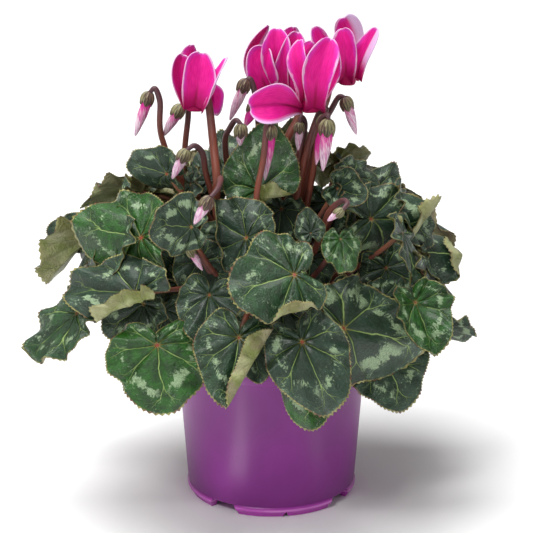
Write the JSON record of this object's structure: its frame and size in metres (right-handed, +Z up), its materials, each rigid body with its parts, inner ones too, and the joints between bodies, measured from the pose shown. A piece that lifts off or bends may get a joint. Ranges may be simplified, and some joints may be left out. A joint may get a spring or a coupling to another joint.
{
  "type": "potted cyclamen",
  "caption": "Potted cyclamen with marbled heart-shaped leaves, nodding buds and upswept magenta flowers in a tapered plastic pot.",
  "frame": {"origin": "on the pot's axis, on the flat bottom that the pot stands on", "axes": "+Z up through the plant, -Y towards the front of the picture, +X to its right"},
  "size_m": [0.2735, 0.2234, 0.2973],
  "materials": {
    "pot": "satin moulded plastic",
    "soil": "loose and fibrous",
    "stalk": "smooth",
    "petal": "velvety",
    "leaf": "slightly waxy"
  },
  "bodies": {
    "root": {"pot": "pot", "soil": "soil", "crown": "stalk", "bloom_1": "petal", "bloom_2": "petal", "bloom_3": "petal", "bloom_4": "petal", "leaf_01": "leaf", "leaf_02": "leaf", "leaf_03": "leaf", "leaf_04": "leaf", "leaf_05": "leaf", "leaf_06": "leaf", "leaf_07": "leaf", "leaf_08": "leaf", "leaf_09": "leaf", "leaf_10": "leaf", "leaf_11": "leaf", "leaf_12": "leaf", "leaf_13": "leaf", "leaf_14": "leaf", "leaf_15": "leaf", "leaf_16": "leaf", "leaf_17": "leaf", "leaf_18": "leaf", "leaf_19": "leaf", "leaf_20": "leaf", "leaf_21": "leaf", "leaf_22": "leaf", "leaf_23": "leaf", "leaf_24": "leaf", "leaf_25": "leaf", "leaf_26": "leaf", "leaf_27": "leaf", "leaf_28": "leaf", "leaf_29": "leaf", "leaf_30": "leaf", "leaf_31": "leaf", "leaf_32": "leaf", "leaf_33": "leaf", "leaf_34": "leaf", "leaf_35": "leaf", "leaf_36": "leaf", "leaf_37": "leaf", "leaf_38": "leaf", "leaf_39": "leaf", "leaf_40": "leaf", "leaf_41": "leaf", "leaf_42": "leaf", "leaf_43": "leaf", "leaf_44": "leaf", "leaf_45": "leaf", "leaf_46": "leaf", "leaf_47": "leaf", "leaf_48": "leaf", "leaf_49": "leaf", "leaf_50": "leaf", "leaf_51": "leaf", "leaf_52": "leaf", "leaf_53": "leaf"}
  },
  "joints": []
}
